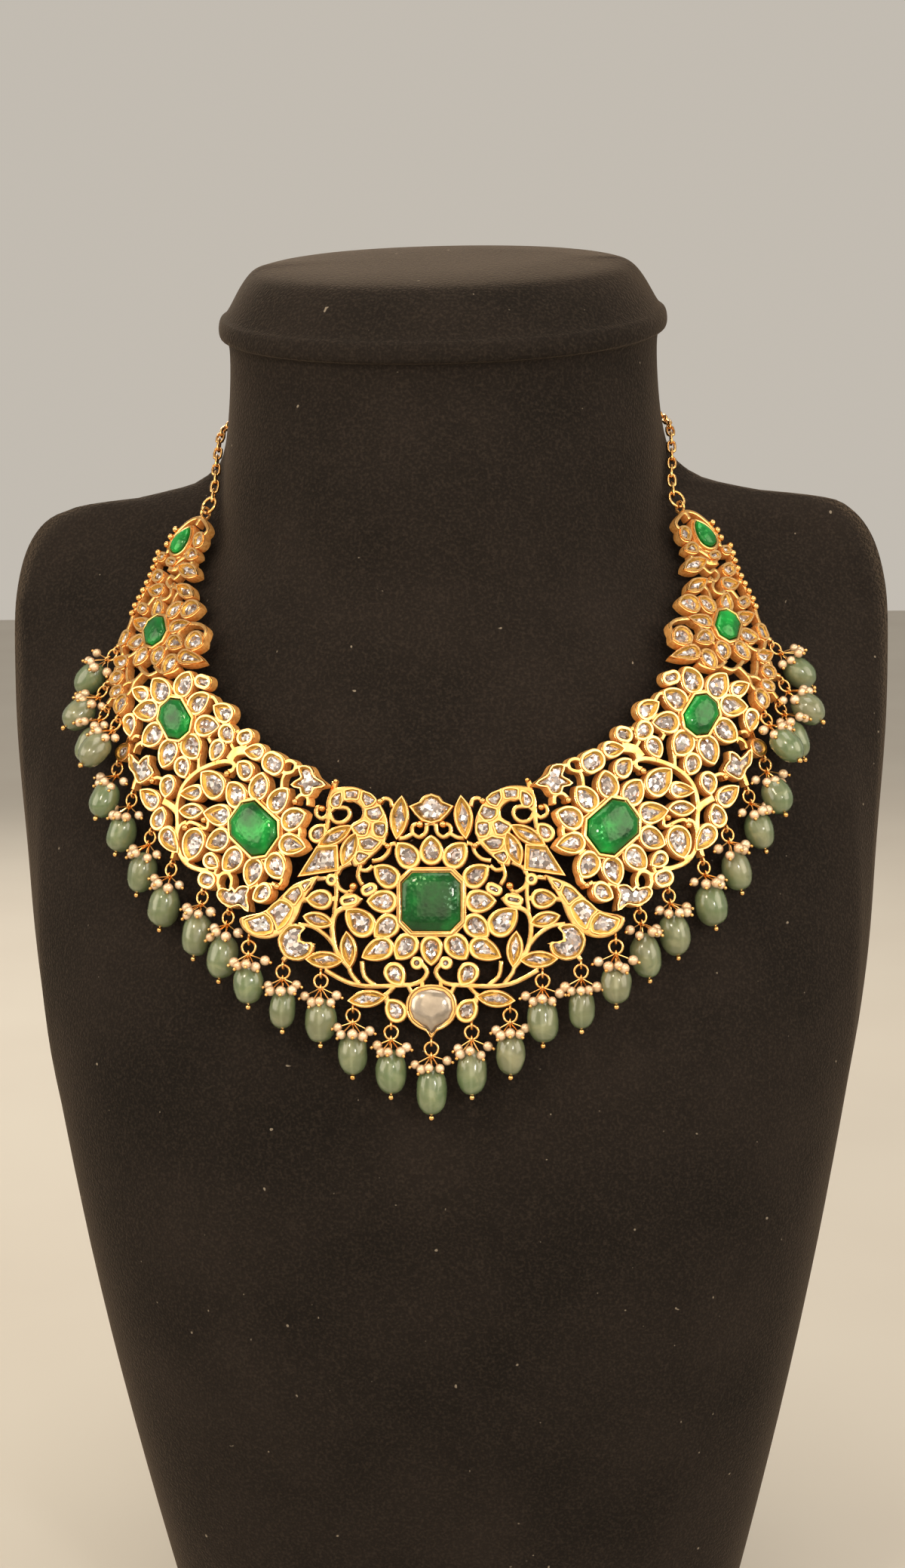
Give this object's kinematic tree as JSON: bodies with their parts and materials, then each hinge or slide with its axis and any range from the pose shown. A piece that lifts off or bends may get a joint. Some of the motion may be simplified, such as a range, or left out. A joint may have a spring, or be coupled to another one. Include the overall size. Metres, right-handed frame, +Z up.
{
  "type": "necklace on a neck display bust",
  "caption": "Gold openwork bib necklace with clear and green cut stones and green drop beads, worn by a black velvet neck display bust.",
  "frame": {"origin": "centre of the bust's flat base, on the table", "axes": "+Z up, the front of the bust and the bib face -Y, +X is the bib's side at the viewer's right"},
  "size_m": [0.21, 0.1262, 0.3442],
  "materials": {
    "velvet": "black velvet",
    "gold": "polished gold",
    "green_stone": "polished step cut",
    "clear_stone": "polished cut",
    "bead_stone": "polished translucent stone"
  },
  "bodies": {
    "root": {"neck_bust": "velvet", "centre_plaque": "gold", "side_plaque_right": "gold", "side_plaque_left": "gold", "upper_plaque_right": "gold", "upper_plaque_left": "gold", "centre_emerald": "green_stone", "side_emerald_right": "green_stone", "side_emerald_left": "green_stone", "second_emerald_right": "green_stone", "second_emerald_left": "green_stone", "octagon_emerald_right": "green_stone", "octagon_emerald_left": "green_stone", "pear_emerald_right": "green_stone", "pear_emerald_left": "green_stone", "base_crystal": "clear_stone", "centre_stones": "clear_stone", "side_stones_right": "clear_stone", "side_stones_left": "clear_stone", "upper_stones_right": "clear_stone", "upper_stones_left": "clear_stone", "drop_rings": "gold", "drop_pins": "gold", "end_rings": "gold", "chain_right": "gold", "chain_left": "gold", "clasp": "gold", "bead_centre": "bead_stone", "bead_right_01": "bead_stone", "bead_right_02": "bead_stone", "bead_right_03": "bead_stone", "bead_right_04": "bead_stone", "bead_right_05": "bead_stone", "bead_right_06": "bead_stone", "bead_right_07": "bead_stone", "bead_right_08": "bead_stone", "bead_right_09": "bead_stone", "bead_right_10": "bead_stone", "bead_right_11": "bead_stone", "bead_right_12": "bead_stone", "bead_right_13": "bead_stone", "bead_right_14": "bead_stone", "bead_right_15": "bead_stone", "bead_left_01": "bead_stone", "bead_left_02": "bead_stone", "bead_left_03": "bead_stone", "bead_left_04": "bead_stone", "bead_left_05": "bead_stone", "bead_left_06": "bead_stone", "bead_left_07": "bead_stone", "bead_left_08": "bead_stone", "bead_left_09": "bead_stone", "bead_left_10": "bead_stone", "bead_left_11": "bead_stone", "bead_left_12": "bead_stone", "bead_left_13": "bead_stone", "bead_left_14": "bead_stone", "bead_left_15": "bead_stone"}
  },
  "joints": []
}
